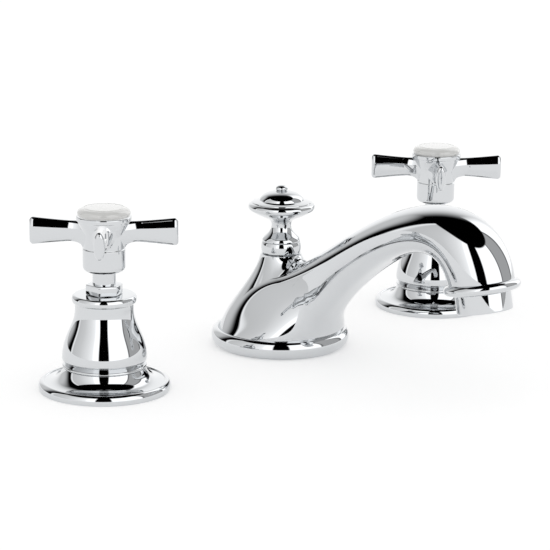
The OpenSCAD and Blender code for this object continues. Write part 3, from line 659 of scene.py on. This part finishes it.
# radius of the pressed line, and how far it lies below the face
LINE_R, LINE_DEEP = BUTTON_R * 0.72, 0.4


def make_cup(side, centre_x):
    mesh = bmesh.new()
    rim = soften([
        (CUP_BORE_R, HANDLE_TOP), (CUP_R, HANDLE_TOP), (CUP_R, CUP_TOP),
        (CUP_BORE_R, CUP_TOP)], 0.5, 6)
    add_turned_ring(mesh, rim, centre_x)
    return finish_piece(
        f"{side}_button_cup", mesh, f"{side}_control", CHROME, [f"{side}_index_cup"])


def make_button(side, centre_x):
    mesh = bmesh.new()
    top = CUP_TOP + BUTTON_H
    foot = [Vector((0, CUP_TOP - 1)), Vector((BUTTON_R - 0.5, CUP_TOP - 1))]
    edge = curve([
        (BUTTON_R - 0.5, CUP_TOP), (BUTTON_R + 0.4, CUP_TOP + BUTTON_H * 0.45),
        (BUTTON_R - 0.9, top - 0.3), (LINE_R + 0.6, top - 0.1)], 28)
    line = curve([
        (LINE_R + 0.35, top - 0.02), (LINE_R + 0.1, top - 0.05), (LINE_R, top - LINE_DEEP),
        (LINE_R - 0.1, top - 0.05), (LINE_R - 0.35, top)], 10)
    face = curve([(LINE_R - 0.35, top), (LINE_R * 0.5, top + 0.05), (0, top + 0.1)], 10)[1:]
    add_turned(mesh, foot + edge + line + face, centre_x)
    return finish_piece(
        f"{side}_button", mesh, f"{side}_control", PORCELAIN,
        [f"{side}_index_button"])


for side, centre_x in VALVES:
    make_gland_nut(side, centre_x)
    turning = [make_handle(side, centre_x), make_cup(side, centre_x), make_button(side, centre_x)]
    for piece in turning:
        # the hot handle is kept out of mirror rays: it would scribble over the spout's flank
        piece.visible_glossy = side == "cold"

# %% [markdown]
# ## Spout
# The spout is a hollow casting that leans forward, thins into a swan neck and
# ends in a round mouth. A bent tube would keep one section all the way, so it
# is lofted. A back curve and a belly curve, in the plane of symmetry, hold every
# section between them. Three more curves say how wide a section is, how far
# down from the back it is widest, and how square it is below that line. Above
# the line, the section is always half an oval. Each section is a ring from the
# circle operator, bridged to the last one.

# %% Spout curves
SPOUT_REACH, SPOUT_RISE = 110.5, 46.0
SPOUT_TILT = math.radians(11.5)
END_R, FOOT_R, FOOT_H, BODY_R = 13.25, 29.48, 8.0, 26.5
COLUMN_R, COLUMN_Z = 8.7, 40.0
LOFT_Z = FOOT_H - 1.5
# the share of the loft that lies behind the saddle, where the back turns upwards
SADDLE_T = 0.3

outlet_at = Vector((-SPOUT_REACH, SPOUT_RISE))
outlet_dir = Vector((-math.sin(SPOUT_TILT), -math.cos(SPOUT_TILT)))
outlet_out = Vector((-math.cos(SPOUT_TILT), math.sin(SPOUT_TILT)))
saddle, rear_pull = Vector((-2, 33)), Vector((21.5, 27.5))
rear_curve = [(BODY_R, LOFT_Z), (26, 7.5), rear_pull, saddle]
crown_end = outlet_at + outlet_out * END_R
crown_curve = [
    saddle, saddle + (saddle - rear_pull) * 0.61, (-50, 57.5), (-72, 89.4),
    crown_end - outlet_dir * 34.5, crown_end]
belly_end = outlet_at - outlet_out * END_R
belly_curve = [
    (-BODY_R, LOFT_Z), (-BODY_R - 0.3, 16), (-31, 18), (-36.5, 28),
    (-61.5, 57), (-93.5, 69), belly_end - outlet_dir * 7.5, belly_end]
width_curve = [(w, 0) for w in (BODY_R, 27, 14, -1.5, 12, 15, 12.2, 15.7, END_R)]
# share of the depth, from the back curve, at which the section is widest
widest_curve = [(w, 0) for w in (0.5, 0.63, 0.04, 0.02, 0.8, 0.52, 0.5, 0.5, 0.5)]
# squareness of the part below the widest line: 2 is an oval, 4 has flat sides
square_curve = [(w, 0) for w in (2, 2.8, 2.8, 3, 5.5, 3.5, 2, 2, 2)]


def spout_section(t):
    """Function that puts an angle on the section at t: 0 is the foot and 1 the mouth."""
    if t < SADDLE_T:
        back = bezier(rear_curve, t / SADDLE_T)
    else:
        back = bezier(crown_curve, (t - SADDLE_T) / (1 - SADDLE_T))
    belly = bezier(belly_curve, t)
    up = (back - belly).normalized()
    depth = (back - belly).length
    half_w = bezier(width_curve, t)[0]
    share = bezier(widest_curve, t)[0]
    square = bezier(square_curve, t)[0]
    widest = back.lerp(belly, share)

    def place(angle):
        across, rise = oval(angle, 2 if math.sin(angle) > 0 else square)
        reach = depth * (share if rise > 0 else 1 - share)
        return metres(half_w * across, *(widest + up * reach * rise))

    return place


# %% Spout arch
SPOUT_SIDES, ARCH_STEPS, COLUMN_STEPS = 96, 110, 24


def make_arch():
    mesh = bmesh.new()
    rings = [
        add_ring(mesh, SPOUT_SIDES, spout_section(i / ARCH_STEPS)) for i in range(ARCH_STEPS + 1)]
    bridge(mesh, rings)
    bmesh.ops.holes_fill(mesh, edges=rings[0] + rings[-1], sides=0)
    bmesh.ops.recalc_face_normals(mesh, faces=mesh.faces)
    return mesh


# %% [markdown]
# ## Column
# The column that guides the lift rod grows out of the arch in a wide skirt. A
# remesh could melt the two together, but it would dull the mirror. Each upright
# line of the skirt starts on the column's circle, runs down, and lands on the
# arch along the arch's own surface. A ray cast at the arch finds where it lands
# and which way the surface faces there.

# %% Column
SKIRT_TOP = 39.6
SKIRT_FROM = metres(0, 0, 29)
# degrees that the rays dip at the sides, and how much less they dip at the front and rear
SIDE_DIP, FRONT_LIFT, REAR_LIFT = -34, 70, 8.5
FRONT_SHARPNESS, REAR_SHARPNESS = 3.5, 2
# how far each end of a line runs straight, as shares of its length
TOP_RUN, LANDING_RUN = 0.345, 0.39
# how much of the skirt's spread a line takes on at its start, and what the front adds
LEAN, FRONT_LEAN = 0.5, 0.45
# the lines end this far below the arch's skin, so that no gap shows
SUNK = 0.02


def skirt_dip(angle):
    """How steeply the line at this angle is aimed: up over the saddle, down elsewhere."""
    front = max(0.0, -math.sin(angle))
    rear = max(0.0, math.sin(angle))
    return math.radians(
        SIDE_DIP + FRONT_LIFT * front ** FRONT_SHARPNESS + REAR_LIFT * rear ** REAR_SHARPNESS)


def skirt_line(angle, arch_tree):
    """Control points of the upright line at this angle."""
    dip = skirt_dip(angle)
    out = Vector((math.cos(angle), math.sin(angle), 0))
    aim = out * math.cos(dip) + Vector((0, 0, math.sin(dip)))
    hit, normal, _, _ = arch_tree.ray_cast(SKIRT_FROM, aim)
    start = metres(0, 0, SKIRT_TOP) + out * COLUMN_R * MM
    along = (aim - normal * aim.dot(normal)).normalized()
    span = (hit - start).length
    spread = max(0.0, (hit - start).dot(out)) / span
    lean = LEAN + FRONT_LEAN * max(0.0, -math.sin(angle))
    fall = (out * spread * lean - Vector((0, 0, 1))).normalized()
    return [
        start, start + fall * span * TOP_RUN, hit - along * span * LANDING_RUN,
        hit - normal * SUNK * MM]


def add_column(mesh, arch_tree):
    """The skirt's lines joined into rings; the first ring is the column's flat top."""
    lines = [
        skirt_line(2 * math.pi * i / SPOUT_SIDES, arch_tree) for i in range(SPOUT_SIDES)]
    rings = []
    for step in range(-1, COLUMN_STEPS + 1):

        def place(angle, step=step):
            i = round(angle / (2 * math.pi) * SPOUT_SIDES) % SPOUT_SIDES
            if step < 0:
                return Vector((lines[i][0].x, lines[i][0].y, COLUMN_Z * MM))
            return bezier(lines[i], step / COLUMN_STEPS)

        rings.append(add_ring(mesh, SPOUT_SIDES, place))
    bridge(mesh, rings)
    bmesh.ops.holes_fill(mesh, edges=rings[0], sides=0)


# %% [markdown]
# ## Foot and collar
# The foot is a half-round moulding with a crisp groove where the body rises out
# of it. A collar bead ends the spout, leaning with the outlet. Both could be
# torus shapes, but only a profile gives the groove and the flat back, so both
# are turned upright, and the collar is then moved to the mouth with one matrix.

# %% Foot and collar
COLLAR_R, COLLAR_H = 15.45, 4.4
# depth and half height of the foot's bead, and how far the collar sits past the mouth
FOOT_BULGE, FOOT_HALF_H, COLLAR_DROP = 2.6, FOOT_H * 0.46, 1
AERATOR_R, AERATOR_H, AERATOR_THREAD_R = 11.25, 7.6, 9.7
OUTLET_FRAME = Matrix.Translation(metres(0, -SPOUT_REACH, SPOUT_RISE)) @ Matrix.Rotation(
    -SPOUT_TILT, 4, "X")


def foot_profile():
    bead = arc(FOOT_R - FOOT_BULGE, FOOT_H * 0.53, FOOT_BULGE, FOOT_HALF_H, 180, 0, 28)
    groove = curve([
        (FOOT_R - FOOT_BULGE, FOOT_H - 0.08), (BODY_R + 0.1, FOOT_H - 0.1),
        (BODY_R - 0.4, FOOT_H - 1.2)], 8)[1:]
    return [Vector((0, 0)), Vector((FOOT_R - 2.9, 0))] + bead + groove + [
        Vector((0, FOOT_H - 1.2))]


def collar_profile():
    bead = arc(
        END_R - 0.6, -COLLAR_DROP, COLLAR_R - END_R + 0.6, COLLAR_H / 2, 0, 180, 28)
    inner = AERATOR_THREAD_R + 0.1
    return [Vector((inner, COLLAR_H / 2 - COLLAR_DROP))] + bead + [
        Vector((inner, -COLLAR_DROP - COLLAR_H / 2))]


def to_outlet(mesh):
    bmesh.ops.transform(mesh, matrix=OUTLET_FRAME, verts=mesh.verts)


def make_spout():
    arch = make_arch()
    add_column(arch, BVHTree.FromBMesh(arch))
    finish_piece("spout_arch", arch, "fixed_set", CHROME, ["spout_body"])
    foot = bmesh.new()
    add_turned(foot, foot_profile())
    finish_piece("spout_foot", foot, "fixed_set", CHROME)
    collar = bmesh.new()
    add_turned_ring(collar, collar_profile())
    to_outlet(collar)
    finish_piece("spout_collar", collar, "fixed_set", CHROME)


make_spout()

# %% [markdown]
# ## Guide collar, rod and knob
# A small bead screwed into the column guides the lift rod. The knob is one
# turned piece: a flared foot, a slim waist, a disc with a dome, and a little
# ball. It could be stacked from simple solids, but a turner's tool runs from
# one form into the next, so it is one profile of curves that meet.

# %% Knob
GUIDE_R, GUIDE_H, ROD_BORE_R = 8.5, 5.4, 2.5
KNOB_R, KNOB_WAIST_R, FLARE_R, DOME_R = 14.3, 4.2, 8.1, 9.4
GUIDE_Z = COLUMN_Z + GUIDE_H
# heights above the guide
WAIST_RISE, RIM_RISE = 6.5, 14.6
# the ball's radius outwards, half its height, and its centre above the rim
BALL_R, BALL_HALF_H, BALL_RISE = 2.6, 1.5, 7.9


def make_guide():
    mesh = bmesh.new()
    bead = arc(GUIDE_R - 0.9, COLUMN_Z + GUIDE_H / 2, 0.9, GUIDE_H / 2, 180, 0, 28)
    add_turned_ring(
        mesh, [Vector((ROD_BORE_R, COLUMN_Z))] + bead + [Vector((ROD_BORE_R, GUIDE_Z))])
    finish_piece("guide_collar", mesh, "fixed_set", CHROME, ["rod_guide"])


def knob_profile():
    rim_z, waist_z = GUIDE_Z + RIM_RISE, GUIDE_Z + WAIST_RISE
    foot = curve([
        (FLARE_R, GUIDE_Z + 0.05), (FLARE_R, GUIDE_Z + 2.4),
        (KNOB_WAIST_R + 0.2, GUIDE_Z + 3), (KNOB_WAIST_R, waist_z)], 28)
    cup = curve([
        (KNOB_WAIST_R, waist_z + 0.4), (KNOB_WAIST_R + 0.1, rim_z - 4.4),
        (KNOB_R - 6.2, rim_z - 4.9), (KNOB_R - 0.6, rim_z - 1)], 32)
    edge = curve([
        (KNOB_R - 0.6, rim_z - 1), (KNOB_R + 0.1, rim_z - 0.2), (KNOB_R, rim_z + 1.2),
        (KNOB_R - 0.7, rim_z + 1.6), (KNOB_R - 1.6, rim_z + 1.9)], 16)[1:]
    step = curve([
        (KNOB_R - 1.6, rim_z + 1.9), (KNOB_R - 1.75, rim_z + 1.95),
        (KNOB_R - 1.8, rim_z + 2.3)], 4)[1:]
    ring = curve([
        (KNOB_R - 1.8, rim_z + 2.3), (KNOB_R - 3, rim_z + 2.7),
        (DOME_R + 0.2, rim_z + 3)], 16)[1:]
    dome = curve([
        (DOME_R, rim_z + 3.1), (8.7, rim_z + 5.4), (5.6, rim_z + 6.8), (1.9, rim_z + 7.1)], 24)
    ball = arc(0, rim_z + BALL_RISE, BALL_R, BALL_HALF_H, 135, 0, 24)
    return [Vector((0, GUIDE_Z + 0.05))] + foot + cup + edge + step + ring + dome + ball


def make_knob():
    mesh = bmesh.new()
    add_turned(mesh, knob_profile())
    finish_piece("pull_knob", mesh, "pop_up", CHROME, ["lift_knob"])


make_guide()
make_knob()

# %% [markdown]
# ## Aerator
# A plain chrome ring screwed into the collar, with a white plastic grille
# inside that the CAD model already has. Its CAD shell has square edges, which
# catch no light, so the ring is turned again with its edges rounded.

# %% Aerator
AERATOR_WALL = 1.4


def make_aerator():
    mesh = bmesh.new()
    top = -COLLAR_DROP - COLLAR_H / 2
    low = top - AERATOR_H
    bore = AERATOR_THREAD_R - AERATOR_WALL
    add_turned_ring(mesh, soften([
        (bore, top + 0.2), (bore, low), (AERATOR_R, low), (AERATOR_R, top + 0.2)], 0.6, 6))
    to_outlet(mesh)
    finish_piece("aerator_ring", mesh, "fixed_set", CHROME, ["aerator_shell"])


make_aerator()

# %% [markdown]
# ## Stage
# A pale floor stands for the deck. A white floor under plain light would come
# out grey, and more lamps would burn out the chrome. So the floor glows a
# little for the camera and for mirror and glass rays alone: there it is white
# but for the soft shadow of the set, and it lights nothing.

# %% Stage
FLOOR_HALF, FLOOR_GLOW = 6.0, 0.33


def make_floor():
    mesh = bmesh.new()
    bmesh.ops.create_grid(mesh, x_segments=1, y_segments=1, size=FLOOR_HALF)
    data = bpy.data.meshes.new("floor")
    mesh.to_mesh(data)
    mesh.free()
    floor = bpy.data.objects.new("floor", data)
    bpy.context.scene.collection.objects.link(floor)
    material, tree = new_material("pale_floor")
    path = add_node(tree, "ShaderNodeLightPath")
    through = add_node(
        tree, "ShaderNodeMath",
        {0: path.outputs["Is Camera Ray"], 1: path.outputs["Is Transmission Ray"]},
        operation="MAXIMUM")
    seen = add_node(
        tree, "ShaderNodeMath", {0: through.outputs[0], 1: path.outputs["Is Glossy Ray"]},
        operation="MAXIMUM")
    lift = add_node(
        tree, "ShaderNodeMath", {0: seen.outputs[0]}, {1: FLOOR_GLOW}, operation="MULTIPLY")
    paint = add_node(tree, "ShaderNodeBsdfDiffuse", values={"Color": colour("#f2f2f2")})
    glow = add_node(
        tree, "ShaderNodeEmission", {"Strength": lift.outputs[0]}, {"Color": colour("#ffffff")})
    both = add_node(tree, "ShaderNodeAddShader", {0: paint.outputs[0], 1: glow.outputs[0]})
    add_node(tree, "ShaderNodeOutputMaterial", {"Surface": both.outputs[0]})
    data.materials.append(material)


make_floor()

# %% [markdown]
# ## Light
# The studio is a white tent. Rubber, plastic and porcelain see it at one plain
# even level. Polished metal is drawn only by what it reflects, so glossy rays
# see the tent as a studio hangs it. Area lamps could hang there instead, but
# each would need its own size and place, and chrome would show their hard
# edges, so the tent is painted on the world. Its walls are bright up to a black
# ceiling, with a black gap at the camera and a grey panel between two dark
# slits on the right. Behind the set it is open and black, with a broad soft
# light straight ahead and a smaller one to its left. Past them the left wall
# begins, pale grey.

# %% World
# elevation in degrees at which the walls end, and over how many they fade
WALL_TOP, WALL_FADE = 53, 2
# the brightest level in the tent; the wall's greys are shares of it
SOFTBOX = 1.6
# how bright the tent is for plain surfaces, and for the camera
PLAIN_LEVEL, SEEN_LEVEL = 0.80, 1.0
# where each lamp hangs, the cosines at its edge and its full middle, and its level
BACK_LAMP = ((44, 10), 0.58, 0.99, 1.2)
SIDE_LAMP = ((82, 16), 0.84, 0.985, 0.75)
# azimuth in degrees from +X, and the brightness of the tent's wall there
WALL_STOPS = [
    (-180, 1.1), (-166, 1.3), (-162, 1.6), (-148, 1.6), (-147, 0.0), (-120, 0.0), (-119, 1.6),
    (-64, 1.6), (-62, 0.05), (-58, 0.5), (-20, 0.5), (-14, 0.05), (-12, 1.6), (12, 1.6),
    (40, 0.0), (123, 0.0), (125, 1.2), (127, 1.2), (131, 0.75), (155, 0.85), (180, 1.1)]


def towards(turn, rise):
    """Unit vector at an azimuth and an elevation in degrees."""
    turn, rise = math.radians(turn), math.radians(rise)
    return (math.cos(turn) * math.cos(rise), math.sin(turn) * math.cos(rise), math.sin(rise))


def add_lamp(tree, ray, aim, edge, middle, level):
    """A soft round lamp in the tent, as the socket that says how bright it is along the ray."""
    facing = add_node(
        tree, "ShaderNodeVectorMath", {0: ray}, {1: towards(*aim)}, operation="DOT_PRODUCT")
    return add_node(
        tree, "ShaderNodeMapRange", {"Value": facing.outputs["Value"]},
        {"From Min": edge, "From Max": middle, "To Min": 0.0, "To Max": level / SOFTBOX},
        interpolation_type="SMOOTHSTEP").outputs["Result"]


def make_world():
    world = bpy.data.worlds.new("studio")
    bpy.context.scene.world = world
    world.use_nodes = True
    tree = world.node_tree
    tree.nodes.clear()
    # in a world, the generated coordinates are the direction of the ray
    ray = add_node(tree, "ShaderNodeTexCoord").outputs["Generated"]
    axes = add_node(tree, "ShaderNodeSeparateXYZ", {"Vector": ray})
    around = add_node(
        tree, "ShaderNodeMath", {0: axes.outputs["Y"], 1: axes.outputs["X"]}, operation="ARCTAN2")
    turns = add_node(
        tree, "ShaderNodeMapRange", {"Value": around.outputs[0]},
        {"From Min": -math.pi, "From Max": math.pi, "To Min": 0.0, "To Max": 1.0})
    wall = add_node(tree, "ShaderNodeValToRGB", {"Fac": turns.outputs["Result"]})
    ramp = wall.color_ramp
    while len(ramp.elements) < len(WALL_STOPS):
        ramp.elements.new(0.5)
    for element, (degrees, level) in zip(ramp.elements, WALL_STOPS):
        grey = level / SOFTBOX
        element.position = (degrees + 180) / 360
        element.color = (grey, grey, grey, 1)
    below_top = add_node(
        tree, "ShaderNodeMapRange", {"Value": axes.outputs["Z"]},
        {"From Min": math.sin(math.radians(WALL_TOP)),
         "From Max": math.sin(math.radians(WALL_TOP + WALL_FADE)), "To Min": 1.0, "To Max": 0.0})
    walls = add_node(
        tree, "ShaderNodeMath", {0: wall.outputs["Color"], 1: below_top.outputs["Result"]},
        operation="MULTIPLY")
    lamps = add_node(
        tree, "ShaderNodeMath",
        {0: add_lamp(tree, ray, *SIDE_LAMP), 1: add_lamp(tree, ray, *BACK_LAMP)},
        operation="MAXIMUM")
    tent = add_node(
        tree, "ShaderNodeMath", {0: walls.outputs[0], 1: lamps.outputs[0]}, operation="MAXIMUM")
    metal = add_node(
        tree, "ShaderNodeMath", {0: tent.outputs[0]}, {1: SOFTBOX}, operation="MULTIPLY")
    path = add_node(tree, "ShaderNodeLightPath")
    plain = add_node(
        tree, "ShaderNodeMapRange", {"Value": path.outputs["Is Camera Ray"]},
        {"To Min": PLAIN_LEVEL, "To Max": SEEN_LEVEL})
    sky = add_node(
        tree, "ShaderNodeMix",
        {"Factor": path.outputs["Is Glossy Ray"], "A": plain.outputs["Result"],
         "B": metal.outputs[0]}, data_type="FLOAT")
    back = add_node(
        tree, "ShaderNodeBackground", {"Strength": sky.outputs["Result"]},
        {"Color": colour("#ffffff")})
    add_node(tree, "ShaderNodeOutputWorld", {"Surface": back.outputs[0]})


make_world()
bpy.context.scene.view_settings.view_transform = "Standard"
